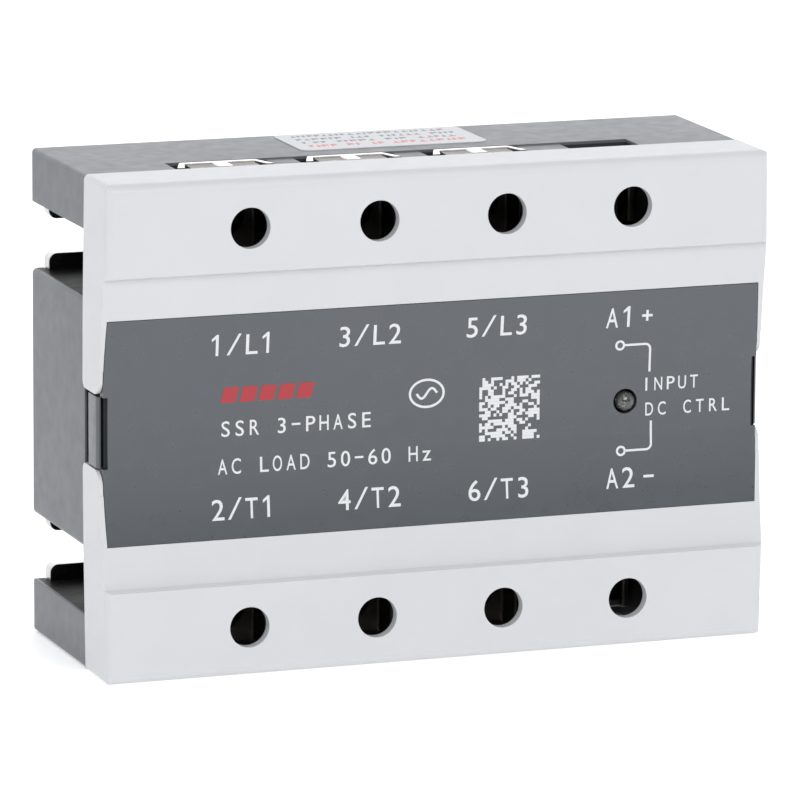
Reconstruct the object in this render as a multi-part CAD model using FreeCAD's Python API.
import FreeCAD, Part
import math
import os

# Three-phase solid state relay for panel mounting, millimetres.
# Origin: centre of the metal mounting face. +Y goes into the heatsink, -Y comes out of the label,
# +X is right and +Z is up as the label is read. The relay stands upright on its lower long side.

# ------------------------------------------------------------------ driving dimensions
LENGTH = 104.0            # whole relay along X
HEIGHT = 74.0             # whole relay along Z
DEPTH = 36.8              # mounting face to the front of the terminal zones
PARTING_Y = -25.6         # where housing and cover meet
PARTING_GAP = 0.15        # air at the parting line, half on each side of it
COVER_PROUD = 0.15        # cover stands this far outside the housing's long sides
END_PROUD = 0.4           # and this far outside its ends, in the middle
END_BOW = 0.35            # the cover's ends bulge outward by this much
WALL = 1.6                # moulded wall thickness

PLATE_T = 2.5             # metal base plate
PLATE_INSET = 2.0         # plate edge inside the relay's outline
HOUSING_BACK_Y = -0.1     # the plate stands proud of the housing, so it meets the heatsink
SLOT_X = 44.0             # centre of each slot's round end: 88 mm between the two ends
SLOT_Z = 23.8             # slot centre line: 47.6 mm between upper and lower slots
SLOT_R = 2.6              # half width, for an M5 screw
SLOT_LIP_R = 1.3          # rounding of the slot's mouth
NOTCH_FLOOR_X = 39.8      # housing is cut away beyond this, so a screw head reaches the plate
NOTCH_HALF = 5.05         # half height of that cut
HOUSING_EDGE_R = 0.6      # the housing's four long corners
HOUSING_BACK_R = 0.3      # and the edges round its back
HOUSING_FLARE = 0.3       # its ends lean out by this much towards the back
WAIST_CORNER_R = 0.8      # corners between the mounting cuts

BASE_SCREW_X = 45.4       # self-tapping screws through the plate into the housing
BASE_SCREW_Z = 32.0
SINK_R = 2.9
SINK_DEPTH = 1.3
SCREW_HOLE_R = 1.6
BASE_SHANK_R = 1.3
BASE_SCREW_TIP_Y = -10.0

PITCH = 19.9              # terminal columns along X
TERMINAL_Z = 29.74        # terminal screws above and below the middle
BAY_SHIFT = 0.4           # the bays lie this far to the right of their screws
COLUMNS = {"1": -1.5 * PITCH, "2": -0.5 * PITCH, "3": 0.5 * PITCH, "A": 1.5 * PITCH}
ACCESS_R = 3.05           # screwdriver holes in the cover

ZONE_EDGE_Z = 23.3        # terminal zones end here, with a small step down to the waist
STEP_FOOT_Z = 22.9
STEP_Y = -35.8            # waist surface at the foot of the step
WAIST_Y = -33.6           # waist surface at its lowest, on the middle line
PANEL_T = 1.5             # label panel thickness
PANEL_HALF_Z = 16.7
PANEL_HALF_X = 51.0       # at the panel's corners
PANEL_BOW = 0.45          # its ends bulge outward by this much in the middle
SEAM = 0.08               # fine gap between the panel and its recess
LEDGE_HALF_X = 44.0       # the recess floor is open inside these
LEDGE_HALF_Z = 12.5
RAIL_GAP_HALF = 5.6       # the cover's side rails stop here to clear the panel's grips
RAIL_BACK_R = 1.2         # rounding of the rails' tips, behind and in front
RAIL_FRONT_R = 2.4
GRIP_HALF = 5.3           # half height of the panel's side grips
GRIP_BACK_Y = -27.8
GRIP_FRONT_Y = -33.0
GRIP_R = 1.0              # rounding of a grip's outer front edge
GRIP_ROOT_X = 49.65       # inner side of a grip, clear of the catch it springs behind
GRIP_STEP_X = 50.65       # beside a grip the panel's face stops here
GRIP_STEP = 0.5           # and a narrow strip lies this far below it
GRIP_GROOVE = (51.1, 51.4)
GRIP_GROOVE_Y = -31.8

CAVITY_Z = 16.9           # electronics bay half height
BAY_WALL = 1.5            # wall between the electronics and the terminals
CAVITY_X = 49.3
SEAT_Y = -19.2            # front of the contact seats, where a wire lies
BAR_T = 1.0               # copper strip
BAY_FLOOR_Y = SEAT_Y + BAR_T
BAY_TOP_Z = 35.2          # inside of the housing's long walls
ENTRY_Y = SEAT_Y          # wire entries reach back to here
RIB_DROP = 0.25           # ribs between wire entries stop short of the outer face
FLOOR_BACK_Y = -13.0      # bay floors are moulded this deep
HOLLOW_TOP_Z = 34.0       # the hollows behind them stop here, so the plate has a ledge to lie on
BOSS_TIP_Y = -7.0         # bosses round the screw tips reach this far back
POCKET_X = (41.8, 49.2)   # corner pockets that take the cover's tongues
POCKET_Z = 31.0
POCKET_FLOOR_Y = -12.0
TONGUE_X = (42.6, 48.4)
TONGUE_Z = (33.0, 34.6)
TONGUE_TIP_Y = -21.5
BARRIER_T = 1.2           # walls between the terminals, inside the cover
BARRIER_TIP_Y = -34.8
BARRIER_WAIST_Y = -31.2   # lower where the cover's waist comes down to them
BARRIER_STEP_Z = 21.2
BARRIER_TOP_Z = 34.9
COVER_CORNER_R = 0.8      # the cover's corners, seen from the front
END_EDGE_R = 1.3          # its front edges at the ends
LONG_EDGE_R = 1.5         # and along the long sides
STICKER_X = (-14.5, 15.1)
STICKER_Y = (-0.9, -15.3)
STICKER_T = 0.12
STICKER_R = 1.5
CATCH_X = (47.3, 48.9)    # upstands that the panel's grips spring behind
CATCH_HALF_Z = 6.5
CATCH_TIP_Y = -30.1
CATCH_ROOT_Y = -18.0
PRY_Y = -20.5             # behind each grip the wall is hollowed back to here
PRY_SKIN = 0.45           # and this much of its thickness is left

BOARD_Y = -14.0           # back of the circuit board
BOARD_T = 1.6
BOARD_HALF_X = 46.0
BOARD_HALF_Z = 14.6
BOARD_SCREW = (44.0, 12.4)
POTTING_Y = -9.0          # top of the potting
SUBSTRATE_T = 0.8
SUBSTRATE_HALF_X = 8.5
SUBSTRATE_HALF_Z = 13.0
CHIP_T = 0.5
CHIP_Z = 7.0
CHIP_HALF = 4.0
GATE_DX = 3.4
GATE_Z = 3.8
GATE_R = 0.35
GATE_TAIL = 0.8           # gate leads stand this far out of the board
FOOT_T = 0.8              # where a busbar lies on its chip
FOOT_Z = 4.8              # inner end of that foot
BAR_HALF = 4.5            # half width of a busbar's riser
CONTACT_HALF = 2.0        # and of an input contact's
CONTACT_PAD_Z = 13.2      # inner end of an input contact's pad on the board
RISER_Z = 16.6            # outer side of a busbar's riser
SHELF_Z = 20.0            # the strips' seats start here
SEAT_Z = (19.0, 35.0)
LEAD_T = 0.5              # component leads
PIN_DX = 1.27             # half the usual spacing of two pins

LED_X = 30.3
LED_Z = -0.3
LED_R = 1.5
LED_HOLE_R = 1.85
LED_FLANGE_Y = -29.6
LED_TIP_Y = -34.7

COVER_FRONT_Y = -DEPTH
COVER_BACK_Y = PARTING_Y - PARTING_GAP / 2
HOUSING_FRONT_Y = PARTING_Y + PARTING_GAP / 2
HALF_X = LENGTH / 2
HALF_Z = HEIGHT / 2
HOUSING_X = HALF_X - END_PROUD
HOUSING_Z = HALF_Z - COVER_PROUD
PLATE_X = HALF_X - PLATE_INSET
PLATE_Z = HALF_Z - PLATE_INSET - COVER_PROUD
BOARD_FRONT_Y = BOARD_Y - BOARD_T
CHIP_TOP_Y = -PLATE_T - SUBSTRATE_T - CHIP_T

# power terminals take M4 screws, input terminals M3
POWER = dict(bay=7.8, seat=6.5, shank=1.95, head=3.8, head_t=2.6, length=12.0, nut=3.5, nut_t=3.2,
             clamp_x=7.5, flat=5.9, clamp_z=7.2, recess=2.2)
INPUT = dict(bay=5.3, seat=4.4, shank=1.45, head=2.8, head_t=2.0, length=10.0, nut=2.75, nut_t=2.4,
             clamp_x=4.9, flat=4.1, clamp_z=4.6, recess=1.6)
CLAMP_T = 1.2
CLAMP_LIFT = 0.8          # the clamps rest this far off their seats, part open
CLAMP_WING = 3.0          # how far the clamps' wings and lip rise
CLAMP_TAB = 1.15          # half width of the raised tab on a clamp's lip
CLAMP_BEND_R = 0.5
LIP_DROP = 0.15           # the lip lies this far below the tab
LIP_GAP = 0.6             # and this far inside the wings
LIP_EDGE_R = 0.4
RUNNING = 0.05            # radial clearance between a screw and its nut
RECESS_HALF = 0.45        # half width of the cross in a screw's head
RECESS_DEPTH = 1.4

TERMINALS = {}
for column in "123":
    TERMINALS["L" + column] = (COLUMNS[column], 1, POWER)
    TERMINALS["T" + column] = (COLUMNS[column], -1, POWER)
TERMINALS["A1"] = (COLUMNS["A"], 1, INPUT)
TERMINALS["A2"] = (COLUMNS["A"], -1, INPUT)


# ------------------------------------------------------------------ small helpers
def block(x0, x1, y0, y1, z0, z1):
    """Box between two corners, given in any order."""
    low = [min(x0, x1), min(y0, y1), min(z0, z1)]
    size = [abs(x1 - x0), abs(y1 - y0), abs(z1 - z0)]
    return Part.makeBox(size[0], size[1], size[2], FreeCAD.Vector(*low))


def rod(x, z, y0, y1, radius):
    """Round bar along Y."""
    start = FreeCAD.Vector(x, min(y0, y1), z)
    return Part.makeCylinder(radius, abs(y1 - y0), start, FreeCAD.Vector(0, 1, 0))


def fuse(shapes):
    return shapes[0].multiFuse(shapes[1:]).removeSplitter()


def cut(shape, tools):
    return shape.cut(Part.makeCompound(tools))


def mirror_z(shape):
    return shape.mirror(FreeCAD.Vector(0, 0, 0), FreeCAD.Vector(0, 0, 1))


def along_x(edges, half_width):
    """Solid from a closed outline in the YZ plane, centred on x = 0."""
    face = Part.Face(Part.Wire(edges))
    solid = face.extrude(FreeCAD.Vector(2 * half_width, 0, 0))
    solid.translate(FreeCAD.Vector(-half_width, 0, 0))
    return solid


def along_z(points, half_height):
    """Solid from a closed polygon of (x, y) points, centred on z = 0."""
    vectors = [FreeCAD.Vector(x, y, -half_height) for x, y in points]
    face = Part.Face(Part.makePolygon(vectors + vectors[:1]))
    return face.extrude(FreeCAD.Vector(0, 0, 2 * half_height))


def outline(points):
    """Closed polygon through (y, z) points in the YZ plane, as edges."""
    vectors = [FreeCAD.Vector(0, y, z) for y, z in points]
    return Part.makePolygon(vectors + vectors[:1]).Edges


def round_edges(shape, radius, wanted):
    """Fillet the edges for which wanted(middle, direction) is true."""
    chosen = []
    for edge in shape.Edges:
        halfway = (edge.FirstParameter + edge.LastParameter) / 2
        if wanted(edge.valueAt(halfway), edge.tangentAt(halfway)):
            chosen.append(edge)
    return shape.makeFillet(radius, chosen)


def save(node, shape):
    if not shape.isValid():
        raise ValueError(node + " is not a valid shape")
    shape.exportStep("parts/" + node + ".step")
    print("%-22s %2d solid(s) %10.1f mm3" % (node, len(shape.Solids), shape.Volume))


def save_group(node, solids):
    save(node, Part.makeCompound(solids))


# ------------------------------------------------------------------ metal base
def base_plate():
    plate = block(-PLATE_X, PLATE_X, 0, -PLATE_T, -PLATE_Z, PLATE_Z)
    plate = round_edges(plate, 1.0, lambda p, d: abs(d.y) > 0.9)
    cutters = []
    for side in (-1, 1):
        for level in (-1, 1):
            x = side * SLOT_X
            z = level * SLOT_Z
            cutters.append(rod(x, z, 1, -PLATE_T - 1, SLOT_R))
            cutters.append(block(x, side * (PLATE_X + 1), 1, -PLATE_T - 1, z - SLOT_R, z + SLOT_R))
    plate = cut(plate, cutters)

    def slot_lip(p, d):
        at_mouth = abs(abs(p.x) - PLATE_X) < 0.01 and abs(abs(abs(p.z) - SLOT_Z) - SLOT_R) < 0.01
        return abs(d.y) > 0.9 and at_mouth

    plate = round_edges(plate, SLOT_LIP_R, slot_lip)
    countersinks = []
    for x, z in base_screw_places():
        countersinks.append(rod(x, z, 0, -PLATE_T, SCREW_HOLE_R))
        countersinks.append(Part.makeCone(SINK_R, SCREW_HOLE_R, SINK_DEPTH, FreeCAD.Vector(x, 0, z),
                                          FreeCAD.Vector(0, -1, 0)))
    return cut(plate, countersinks)


def base_screw_places():
    return [(sx * BASE_SCREW_X, sz * BASE_SCREW_Z) for sx in (-1, 1) for sz in (-1, 1)]


def base_screw(x, z):
    """Countersunk self-tapping screw that holds the housing to the plate."""
    head_r = SINK_R - 0.15
    sunk = FreeCAD.Vector(x, -0.15, z)
    head = Part.makeCone(head_r, BASE_SHANK_R, head_r - BASE_SHANK_R, sunk, FreeCAD.Vector(0, -1, 0))
    shank = rod(x, z, -0.5, BASE_SCREW_TIP_Y, BASE_SHANK_R)
    screw = fuse([head, shank])
    arms = [block(x - 1.5, x + 1.5, 0, -0.9, z - 0.3, z + 0.3),
            block(x - 0.3, x + 0.3, 0, -0.9, z - 1.5, z + 1.5)]
    return cut(screw, arms)


# ------------------------------------------------------------------ housing
def housing_block():
    back_x = HOUSING_X + HOUSING_FLARE
    plan = [(-back_x, HOUSING_BACK_Y), (back_x, HOUSING_BACK_Y),
            (HOUSING_X, HOUSING_FRONT_Y), (-HOUSING_X, HOUSING_FRONT_Y)]
    body = along_z(plan, HOUSING_Z)
    body = round_edges(body, HOUSING_EDGE_R, lambda p, d: abs(d.y) > 0.9)
    notches = []
    for side in (-1, 1):
        for level in (-1, 1):
            z = level * SLOT_Z
            notches.append(block(side * NOTCH_FLOOR_X, side * (HALF_X + 1), 1, PARTING_Y - 1,
                                 z - NOTCH_HALF, z + NOTCH_HALF))
    body = cut(body, notches)

    def waist_corner(p, d):
        at_edge = abs(p.x) > HOUSING_X and abs(abs(p.z) - (SLOT_Z - NOTCH_HALF)) < 0.01
        return abs(d.y) > 0.9 and at_edge

    body = round_edges(body, WAIST_CORNER_R, waist_corner)
    return round_edges(body, HOUSING_BACK_R, lambda p, d: abs(p.y - HOUSING_BACK_Y) < 0.01)


def bay_cutters(x, kind):
    """Everything moulded out for one upper terminal column."""
    left = x + BAY_SHIFT - kind["bay"]
    right = x + BAY_SHIFT + kind["bay"]
    wall_z = CAVITY_Z + BAY_WALL
    nut_back_y = BAY_FLOOR_Y + kind["nut_t"]
    return [
        block(left, right, BAY_FLOOR_Y, PARTING_Y - 1, wall_z, BAY_TOP_Z),
        block(left, right, ENTRY_Y, PARTING_Y - 1, BAY_TOP_Z - 1, HALF_Z + 1),
        block(x - kind["nut"], x + kind["nut"], BAY_FLOOR_Y - 1, nut_back_y,
              TERMINAL_Z - kind["nut"], TERMINAL_Z + kind["nut"]),
        rod(x, TERMINAL_Z, nut_back_y - 1, -8.0, kind["shank"] + 0.5),
        block(x - kind["seat"] + 1, x + kind["seat"] - 1, BAY_FLOOR_Y, SEAT_Y - 0.3,
              CAVITY_Z - 1, wall_z + 1),
    ]


def barriers(x, kind):
    """Creepage walls round one upper terminal: one on each side and one towards the electronics."""
    middle = x + BAY_SHIFT
    outer = kind["bay"] + BARRIER_T
    root_y = PARTING_Y + 1.0
    walls = [block(middle - outer, middle + outer, root_y, BARRIER_WAIST_Y, CAVITY_Z, CAVITY_Z + BAY_WALL)]
    for side in (-1, 1):
        near = middle + side * kind["bay"]
        far = middle + side * outer
        walls.append(block(near, far, root_y, BARRIER_WAIST_Y, CAVITY_Z, BARRIER_STEP_Z))
        walls.append(block(near, far, root_y, BARRIER_TIP_Y, BARRIER_STEP_Z - 0.2, BARRIER_TOP_Z))
    return walls


def hollow_behind_bay(x, kind):
    """Space behind one bay's floor, round the boss that takes the tip of the terminal screw."""
    left = x + BAY_SHIFT - kind["bay"]
    right = x + BAY_SHIFT + kind["bay"]
    space = block(left, right, 1, FLOOR_BACK_Y, CAVITY_Z + 3.0, HOLLOW_TOP_Z)
    boss = rod(x, TERMINAL_Z, 2, FLOOR_BACK_Y, kind["shank"] + 2.1)
    cap = block(left, right, 2, BOSS_TIP_Y, CAVITY_Z, BAY_TOP_Z)
    return space.cut(boss.cut(cap))


def housing():
    body = housing_block()
    cutters = [
        block(-CAVITY_X, CAVITY_X, 1, PARTING_Y - 1, -CAVITY_Z, CAVITY_Z),
        block(-PLATE_X - 0.1, PLATE_X + 0.1, 1, -PLATE_T, -PLATE_Z - 0.1, PLATE_Z + 0.1),
    ]
    for x, level, kind in TERMINALS.values():
        tools = bay_cutters(x, kind) + [hollow_behind_bay(x, kind)]
        cutters += tools if level > 0 else [mirror_z(tool) for tool in tools]
    left = COLUMNS["1"] + BAY_SHIFT - POWER["bay"]
    right = COLUMNS["A"] + BAY_SHIFT + INPUT["bay"]
    for level in (-1, 1):
        edge = level * (HOUSING_Z - RIB_DROP)
        cutters.append(block(left, right, ENTRY_Y, PARTING_Y - 1, edge, level * (HALF_Z + 1)))
        for side in (-1, 1):
            cutters.append(block(side * POCKET_X[0], side * POCKET_X[1], POCKET_FLOOR_Y, PARTING_Y - 1,
                                 level * POCKET_Z, level * BAY_TOP_Z))
    for side in (-1, 1):
        cutters.append(block(side * (CAVITY_X - 0.1), side * (HOUSING_X - PRY_SKIN), PRY_Y, PARTING_Y - 1,
                             -RAIL_GAP_HALF, RAIL_GAP_HALF))
    for x, z in base_screw_places():
        cutters.append(rod(x, z, 0, BASE_SCREW_TIP_Y - 0.5, BASE_SHANK_R))
    body = cut(body, cutters)
    added = []
    for x, level, kind in TERMINALS.values():
        walls = barriers(x, kind)
        added += walls if level > 0 else [mirror_z(wall) for wall in walls]
    for side in (-1, 1):
        added.append(block(side * CATCH_X[0], side * CATCH_X[1], CATCH_ROOT_Y, CATCH_TIP_Y,
                           -CATCH_HALF_Z, CATCH_HALF_Z))
        added.append(block(side * CATCH_X[0], side * (CAVITY_X + 0.5), CATCH_ROOT_Y, PRY_Y,
                           -CATCH_HALF_Z, CATCH_HALF_Z))
        for level in (-1, 1):
            x, z = side * BOARD_SCREW[0], level * BOARD_SCREW[1]
            ledge = block(x - side * 2.6, side * (CAVITY_X + 0.5), -4.0, BOARD_Y,
                          z - level * 2.4, level * (CAVITY_Z + 0.5))
            added.append(ledge.cut(rod(x, z, POTTING_Y, BOARD_Y - 1, 0.95)))
    return fuse([body] + added)


# ------------------------------------------------------------------ power stage
def substrate(x):
    return block(x - SUBSTRATE_HALF_X, x + SUBSTRATE_HALF_X, -PLATE_T, -PLATE_T - SUBSTRATE_T,
                 -SUBSTRATE_HALF_Z, SUBSTRATE_HALF_Z)


def chip(x, level):
    z = level * CHIP_Z
    return block(x - CHIP_HALF, x + CHIP_HALF, -PLATE_T - SUBSTRATE_T, CHIP_TOP_Y,
                 z - CHIP_HALF, z + CHIP_HALF)


def gate_lead(x, level):
    return rod(x + GATE_DX, level * GATE_Z, CHIP_TOP_Y, BOARD_FRONT_Y - GATE_TAIL, GATE_R)


def busbar(x):
    """Upper copper strip: foot on the chip, riser up the wall, seat under the wire clamp."""
    inner_z = RISER_Z - BAR_T
    foot_y = CHIP_TOP_Y - FOOT_T
    strip = along_x(outline([(CHIP_TOP_Y, FOOT_Z), (CHIP_TOP_Y, RISER_Z), (BAY_FLOOR_Y, RISER_Z),
                             (BAY_FLOOR_Y, SHELF_Z), (SEAT_Y, SHELF_Z), (SEAT_Y, inner_z),
                             (foot_y, inner_z), (foot_y, FOOT_Z)]), BAR_HALF)
    strip.translate(FreeCAD.Vector(x, 0, 0))
    seat = block(x - POWER["seat"], x + POWER["seat"], BAY_FLOOR_Y, SEAT_Y, SEAT_Z[0], SEAT_Z[1])
    bar = fuse([strip, seat])
    return bar.cut(rod(x, TERMINAL_Z, 0, -40, POWER["shank"] + 0.35))


def input_contact(x):
    """Upper input strip: seat under its clamp, then down to a pad on the circuit board."""
    inner_z = RISER_Z - BAR_T
    pad_y = BOARD_FRONT_Y - BAR_T
    strip = along_x(outline([(BOARD_FRONT_Y, CONTACT_PAD_Z), (BOARD_FRONT_Y, inner_z),
                             (BAY_FLOOR_Y, inner_z), (BAY_FLOOR_Y, SHELF_Z), (SEAT_Y, SHELF_Z),
                             (SEAT_Y, inner_z - BAR_T), (pad_y, inner_z - BAR_T),
                             (pad_y, CONTACT_PAD_Z)]), CONTACT_HALF)
    strip.translate(FreeCAD.Vector(x, 0, 0))
    seat = block(x - INPUT["seat"], x + INPUT["seat"], BAY_FLOOR_Y, SEAT_Y, SEAT_Z[0], SEAT_Z[1])
    contact = fuse([strip, seat])
    return contact.cut(rod(x, TERMINAL_Z, 0, -40, INPUT["shank"] + 0.35))


def potting(embedded):
    fill = block(-CAVITY_X, CAVITY_X, -PLATE_T, POTTING_Y, -CAVITY_Z, CAVITY_Z)
    return cut(fill, embedded)


# ------------------------------------------------------------------ control board
def circuit_board():
    board = block(-BOARD_HALF_X, BOARD_HALF_X, BOARD_Y, BOARD_FRONT_Y, -BOARD_HALF_Z, BOARD_HALF_Z)
    holes = []
    for name in "123":
        for level in (-1, 1):
            holes.append(rod(COLUMNS[name] + GATE_DX, level * GATE_Z, 0, -20, 0.4))
    for side in (-1, 1):
        holes.append(rod(LED_X + side * PIN_DX, LED_Z, 0, -20, 0.35))
        for level in (-1, 1):
            holes.append(rod(side * BOARD_SCREW[0], level * BOARD_SCREW[1], 0, -20, 1.4))
    return cut(board, holes)


def board_screw(x, z):
    """Small pan-head screw into a housing ledge."""
    head = rod(x, z, BOARD_FRONT_Y, BOARD_FRONT_Y - 1.6, 2.2)
    head = round_edges(head, 0.7, lambda p, d: p.y < BOARD_FRONT_Y - 1.5)
    screw = fuse([head, rod(x, z, BOARD_FRONT_Y, POTTING_Y - 0.5, 0.95)])
    slot = block(x - 2.5, x + 2.5, BOARD_FRONT_Y - 0.9, BOARD_FRONT_Y - 2, z - 0.3, z + 0.3)
    return screw.cut(slot)


def optocoupler(x):
    """Six-pin driver: body and two rows of legs."""
    package = block(x - 3.6, x + 3.6, BOARD_FRONT_Y - 0.5, BOARD_FRONT_Y - 3.9, -3.2, 3.2)
    package = round_edges(package, 0.3, lambda p, d: p.y < BOARD_FRONT_Y - 3.8)
    legs = []
    for side in (-1, 1):
        for dx in (-2 * PIN_DX, 0.0, 2 * PIN_DX):
            legs.append(block(x + dx - 0.3, x + dx + 0.3, BOARD_FRONT_Y, BOARD_FRONT_Y - 2.0,
                              side * 3.1, side * 3.4))
    return fuse([package] + legs)


def snubber_capacitor(x):
    """Film capacitor in a potted box."""
    case = block(x - 6.2, x + 6.2, BOARD_FRONT_Y - 0.3, BOARD_FRONT_Y - 9.3, 7.2, 11.9)
    case = round_edges(case, 0.5, lambda p, d: abs(d.y) > 0.9)
    feet = [rod(x + dx, 9.5, BOARD_FRONT_Y, BOARD_FRONT_Y - 1, 0.3) for dx in (-5.0, 5.0)]
    return fuse([case] + feet)


def axial_resistor(x, z, length, radius):
    """Resistor lying along X with its flat leads bent down to the board."""
    axis_y = BOARD_FRONT_Y - radius - 0.4
    start = FreeCAD.Vector(x - length / 2, axis_y, z)
    body = Part.makeCylinder(radius, length, start, FreeCAD.Vector(1, 0, 0))
    body = body.makeFillet(radius * 0.4, [e for e in body.Edges if e.Closed])
    reach = length / 2 + 1.2
    half = LEAD_T / 2
    wire = block(x - reach, x + reach, axis_y - half, axis_y + half, z - half, z + half)
    legs = [block(x + side * reach, x + side * (reach - LEAD_T), BOARD_FRONT_Y, axis_y + half,
                  z - half, z + half) for side in (-1, 1)]
    return fuse([body, wire] + legs)


def varistor(x):
    """Coated disc standing on two leads."""
    centre = FreeCAD.Vector(x, BOARD_FRONT_Y - 5.4, -13.6)
    disc = Part.makeCylinder(4.6, 3.6, centre, FreeCAD.Vector(0, 0, 1))
    disc = disc.makeFillet(1.2, [e for e in disc.Edges if e.Closed])
    legs = [rod(x + dx, -11.8, BOARD_FRONT_Y, BOARD_FRONT_Y - 3.5, 0.3) for dx in (-2.5, 2.5)]
    return fuse([disc] + legs)


def regulator_transistor():
    """Small half-round transistor in the input circuit."""
    x, z = 38.5, -6.0
    body = rod(x, z, BOARD_FRONT_Y - 1.5, BOARD_FRONT_Y - 6.2, 2.3)
    body = body.cut(block(x - 3, x + 3, 0, -40, z + 1.3, z + 3))
    legs = [block(x + dx - 0.2, x + dx + 0.2, BOARD_FRONT_Y, BOARD_FRONT_Y - 2, z - 0.2, z + 0.2)
            for dx in (-PIN_DX, 0.0, PIN_DX)]
    return fuse([body] + legs)


def led_spacer():
    """Nylon tube that holds the indicator at the height of the label."""
    tube = rod(LED_X, LED_Z, BOARD_FRONT_Y, LED_FLANGE_Y, 1.9)
    return cut(tube, [rod(LED_X + s * PIN_DX, LED_Z, 0, -40, 0.3) for s in (-1, 1)])


def indicator_led():
    flange = rod(LED_X, LED_Z, LED_FLANGE_Y, LED_FLANGE_Y - 1.0, 1.9)
    barrel = rod(LED_X, LED_Z, LED_FLANGE_Y - 0.5, LED_TIP_Y + LED_R, LED_R)
    dome = Part.makeSphere(LED_R, FreeCAD.Vector(LED_X, LED_TIP_Y + LED_R, LED_Z))
    return fuse([flange, barrel, dome])


def led_lead(side):
    return rod(LED_X + side * PIN_DX, LED_Z, LED_FLANGE_Y, BOARD_Y + 1.0, 0.25)


# ------------------------------------------------------------------ terminals
def terminal_nut(x, level, kind):
    half = kind["nut"] - 0.05
    z = level * TERMINAL_Z
    nut = block(x - half, x + half, BAY_FLOOR_Y, BAY_FLOOR_Y + kind["nut_t"], z - half, z + half)
    return nut.cut(rod(x, z, 0, -40, kind["shank"] + RUNNING))


def wire_clamp(x, level, kind):
    """Saddle clamp: flat under the screw head, wings leaning out and a lip above the wire."""
    middle = x + BAY_SHIFT
    half, flat = kind["clamp_x"], kind["flat"]
    back = SEAT_Y - CLAMP_LIFT
    front = back - CLAMP_T
    tip = front - CLAMP_WING
    points = [(-flat, back), (flat, back), (half, tip), (half - CLAMP_T, tip), (flat - CLAMP_BEND_R, front),
              (CLAMP_BEND_R - flat, front), (CLAMP_T - half, tip), (-half, tip)]
    vectors = [FreeCAD.Vector(middle + dx, y, 0) for dx, y in points]
    face = Part.Face(Part.makePolygon(vectors + vectors[:1]))
    outer_z = TERMINAL_Z + kind["clamp_z"]
    clamp = face.extrude(FreeCAD.Vector(0, 0, 2 * kind["clamp_z"]))
    clamp.translate(FreeCAD.Vector(0, 0, TERMINAL_Z - kind["clamp_z"]))

    def bend(p, d):
        return abs(d.z) > 0.9 and abs(abs(p.x - middle) - flat) < CLAMP_BEND_R + 0.1

    clamp = round_edges(clamp, CLAMP_BEND_R, bend)
    reach = flat - LIP_GAP
    lip_z = outer_z - LIP_DROP
    lip = block(middle - reach, middle + reach, back, tip, lip_z - CLAMP_T, lip_z)
    lip = round_edges(lip, LIP_EDGE_R, lambda p, d: abs(d.x) > 0.9 and p.z > lip_z - 0.1 and p.y < front)
    tab = block(middle - CLAMP_TAB, middle + CLAMP_TAB, front, tip - 0.3, lip_z - CLAMP_T, outer_z)
    clamp = fuse([clamp, lip, tab]).cut(rod(x, TERMINAL_Z, 0, -40, kind["shank"] + 0.3))
    return clamp if level > 0 else mirror_z(clamp)


def clamp_screw(x, level, kind):
    """Pan-head terminal screw with a cross recess and a slot."""
    z = level * TERMINAL_Z
    under_head = SEAT_Y - CLAMP_LIFT - CLAMP_T - 0.05
    top = under_head - kind["head_t"]
    head = rod(x, z, under_head, top, kind["head"])
    head = round_edges(head, kind["head_t"] * 0.45, lambda p, d: p.y < top + 0.1)
    shank = rod(x, z, under_head - 0.5, under_head + kind["length"], kind["shank"])
    arm = kind["recess"]
    floor = top + RECESS_DEPTH
    recess = [block(x - arm, x + arm, top - 1, floor, z - RECESS_HALF, z + RECESS_HALF),
              block(x - RECESS_HALF, x + RECESS_HALF, top - 1, floor, z - arm, z + arm)]
    return cut(fuse([head, shank]), recess)


# ------------------------------------------------------------------ cover
def waist_arc(depth, half_z):
    """Edge along the waist's hollow curve, pushed back by depth, from +half_z down to -half_z."""
    rise = STEP_Y - WAIST_Y
    radius = (STEP_FOOT_Z ** 2 + rise ** 2) / (2 * abs(rise))
    edge_y = WAIST_Y + depth - (radius - math.sqrt(radius ** 2 - half_z ** 2))
    top = FreeCAD.Vector(0, edge_y, half_z)
    middle = FreeCAD.Vector(0, WAIST_Y + depth, 0)
    bottom = FreeCAD.Vector(0, edge_y, -half_z)
    return top, bottom, Part.Arc(top, middle, bottom).toShape()


def waisted_profile(depth, back_y, half_z, zone_y, zone_z, foot_z):
    """Closed outline in the YZ plane: two flat terminal zones with the hollow waist between."""
    top, bottom, arc = waist_arc(depth, foot_z)
    upper = [FreeCAD.Vector(0, back_y, half_z), FreeCAD.Vector(0, zone_y, half_z),
             FreeCAD.Vector(0, zone_y, zone_z), top]
    lower = [bottom, FreeCAD.Vector(0, zone_y, -zone_z), FreeCAD.Vector(0, zone_y, -half_z),
             FreeCAD.Vector(0, back_y, -half_z), upper[0]]
    return Part.makePolygon(upper).Edges + [arc] + Part.makePolygon(lower).Edges


def bowed_prism(half_x, half_z, bow):
    """Tall prism seen from the front: straight long sides, ends that bulge outward by bow."""
    corners = [FreeCAD.Vector(sx * half_x, 0, sz * half_z)
               for sx, sz in ((-1, -1), (1, -1), (1, 1), (-1, 1))]
    ends = [FreeCAD.Vector(sx * (half_x + bow), 0, 0) for sx in (1, -1)]
    edges = [Part.LineSegment(corners[0], corners[1]).toShape(),
             Part.Arc(corners[1], ends[0], corners[2]).toShape(),
             Part.LineSegment(corners[2], corners[3]).toShape(),
             Part.Arc(corners[3], ends[1], corners[0]).toShape()]
    return Part.Face(Part.Wire(edges)).extrude(FreeCAD.Vector(0, -DEPTH, 0))


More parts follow.
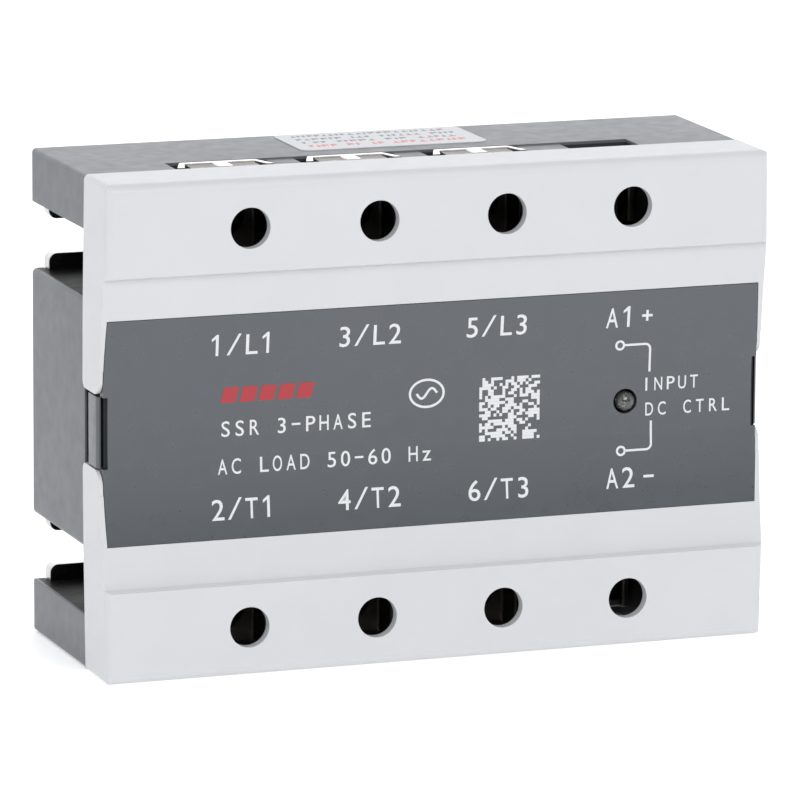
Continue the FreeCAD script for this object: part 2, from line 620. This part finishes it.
def end_rounding():
    """Prism with bowed ends and rounded corners and front edges, to trim the cover with."""
    prism = bowed_prism(HALF_X - END_BOW, HALF_Z, END_BOW)
    cornered = round_edges(prism, COVER_CORNER_R, lambda p, d: abs(d.y) > 0.9)
    eased = round_edges(prism, END_EDGE_R, lambda p, d: abs(d.z) > 0.9 and p.y < COVER_FRONT_Y + 0.1)
    return cornered.common(eased)


def panel_outline(grow):
    return bowed_prism(PANEL_HALF_X + grow, PANEL_HALF_Z + grow, PANEL_BOW)


def waist_slab(back_depth, front_depth, half_z):
    """Curved slab that follows the waist between two depths behind its surface."""
    top_b, bottom_b, arc_b = waist_arc(back_depth, half_z)
    top_f, bottom_f, arc_f = waist_arc(front_depth, half_z)
    edges = [arc_b, Part.LineSegment(bottom_b, bottom_f).toShape(), arc_f,
             Part.LineSegment(top_f, top_b).toShape()]
    return along_x(Part.__sortEdges__(edges), HALF_X + 1)


def rail_gap(side):
    """Space cut from one end wall between its two round-tipped side rails."""
    reach = RAIL_GAP_HALF + RAIL_BACK_R + RAIL_FRONT_R
    inner_x = side * (CAVITY_X + 0.2)
    outer_x = side * (HALF_X + 1)
    gap = block(inner_x, outer_x, COVER_BACK_Y + 1, COVER_FRONT_Y - 1, -reach, reach)
    for level in (-1, 1):
        tip = block(inner_x, outer_x, COVER_BACK_Y, WAIST_Y - 0.2,
                    level * RAIL_GAP_HALF, level * (reach + 1))

        def at_tip(p, d):
            return abs(d.x) > 0.9 and abs(abs(p.z) - RAIL_GAP_HALF) < 0.01

        tip = round_edges(tip, RAIL_BACK_R, lambda p, d: at_tip(p, d) and p.y > COVER_BACK_Y - 0.1)
        tip = round_edges(tip, RAIL_FRONT_R, lambda p, d: at_tip(p, d) and p.y < WAIST_Y)
        gap = gap.cut(tip)
    return gap


def front_cover():
    shell = along_x(waisted_profile(0, COVER_BACK_Y, HALF_Z, COVER_FRONT_Y, ZONE_EDGE_Z, STEP_FOOT_Z),
                    HALF_X)

    def long_front_edge(p, d):
        return abs(d.x) > 0.9 and p.y < COVER_FRONT_Y + 0.1 and abs(p.z) > HALF_Z - 1

    shell = round_edges(shell, LONG_EDGE_R, long_front_edge)
    shell = shell.common(end_rounding())
    inside = along_x(waisted_profile(PANEL_T + WALL, COVER_BACK_Y + 1, HALF_Z - WALL,
                                     COVER_FRONT_Y + WALL, ZONE_EDGE_Z - 2.6, STEP_FOOT_Z - 2.6),
                     HALF_X - WALL)
    shell = shell.cut(inside)
    holes = []
    for x in COLUMNS.values():
        for level in (-1, 1):
            holes.append(rod(x, level * TERMINAL_Z, -30.0, COVER_FRONT_Y - 1, ACCESS_R))
    tongues = []
    for side in (-1, 1):
        for level in (-1, 1):
            tongues.append(block(side * TONGUE_X[0], side * TONGUE_X[1], TONGUE_TIP_Y,
                                 COVER_FRONT_Y + 1, level * TONGUE_Z[0], level * TONGUE_Z[1]))
    shell = fuse([shell] + tongues)
    recess = panel_outline(SEAM).common(waist_slab(PANEL_T, -4.0, PANEL_HALF_Z + 2))
    opening = block(-LEDGE_HALF_X, LEDGE_HALF_X, -20, COVER_FRONT_Y - 1, -LEDGE_HALF_Z, LEDGE_HALF_Z)
    return cut(shell, holes + [recess, opening, rail_gap(-1), rail_gap(1)])


def label_panel():
    """Dark insert that carries the printing, with a finger grip at each end."""
    panel = panel_outline(0).common(waist_slab(PANEL_T, 0, PANEL_HALF_Z + 2))
    for side in (-1, 1):
        beyond = block(side * GRIP_STEP_X, side * (HALF_X + 1), 0, COVER_FRONT_Y, -GRIP_HALF, GRIP_HALF)
        grip = block(side * GRIP_ROOT_X, side * HALF_X, GRIP_BACK_Y, GRIP_FRONT_Y,
                     -GRIP_HALF, GRIP_HALF)
        grip = round_edges(grip, GRIP_R, lambda p, d: abs(d.z) > 0.9 and abs(p.x) > HALF_X - 0.1)
        strip = block(side * GRIP_ROOT_X, side * GRIP_GROOVE[1], GRIP_FRONT_Y + 0.5,
                      WAIST_Y + GRIP_STEP, -GRIP_HALF, GRIP_HALF)
        groove = block(side * GRIP_GROOVE[0], side * GRIP_GROOVE[1], GRIP_GROOVE_Y, COVER_FRONT_Y,
                       -HALF_Z, HALF_Z)
        panel = fuse([panel.cut(beyond), grip, strip]).cut(groove.common(beyond))
    return panel.cut(rod(LED_X, LED_Z, 0, COVER_FRONT_Y, LED_HOLE_R))


def top_sticker():
    """Thin paper label on the housing's upper face."""
    sticker = block(STICKER_X[0], STICKER_X[1], STICKER_Y[0], STICKER_Y[1],
                    HOUSING_Z, HOUSING_Z + STICKER_T)
    return round_edges(sticker, STICKER_R, lambda p, d: abs(d.z) > 0.9)


# ------------------------------------------------------------------ write every piece
def placed(maker, level, *arguments):
    """Make an upper piece, mirrored down when level is negative."""
    shape = maker(*arguments)
    return shape if level > 0 else mirror_z(shape)


def main():
    os.makedirs("parts", exist_ok=True)
    phases = [COLUMNS[name] for name in "123"]
    levels = (-1, 1)
    case = housing()
    substrates = [substrate(x) for x in phases]
    chips = [chip(x, level) for x in phases for level in levels]
    leads = [gate_lead(x, level) for x in phases for level in levels]
    bars = {}
    for name, (x, level, kind) in TERMINALS.items():
        maker = busbar if kind is POWER else input_contact
        bars[name] = placed(maker, level, x)

    save("base_plate", base_plate())
    save("housing", case)
    save_group("base_screws", [base_screw(x, z) for x, z in base_screw_places()])
    save_group("ceramic_substrates", substrates)
    save_group("thyristor_chips", chips)
    save_group("gate_leads", leads)
    save("potting", potting([case] + substrates + chips + leads + list(bars.values())))
    for name, bar in bars.items():
        save(("busbar_" if name[0] in "LT" else "contact_") + name, bar)

    save("control_board", circuit_board())
    save_group("board_screws", [board_screw(sx * BOARD_SCREW[0], sz * BOARD_SCREW[1])
                                for sx in levels for sz in levels])
    save_group("optocouplers", [optocoupler(x) for x in phases])
    save_group("snubber_capacitors", [snubber_capacitor(x) for x in phases])
    save_group("snubber_resistors", [axial_resistor(x, -7.2, 9.0, 1.8) for x in phases])
    save_group("varistors", [varistor(x) for x in phases])
    save_group("input_resistors", [axial_resistor(COLUMNS["A"], z, 6.0, 1.1) for z in (7.0, -7.0)])
    save("input_transistor", regulator_transistor())
    save("led_spacer", led_spacer())
    save("indicator_led", indicator_led())
    save_group("led_leads", [led_lead(side) for side in levels])

    save_group("terminal_nuts", [terminal_nut(*place) for place in TERMINALS.values()])
    for name, place in TERMINALS.items():
        save("clamp_" + name, wire_clamp(*place))
        save("screw_" + name, clamp_screw(*place))
    save("front_cover", front_cover())
    save("label_panel", label_panel())
    save("top_sticker", top_sticker())


main()
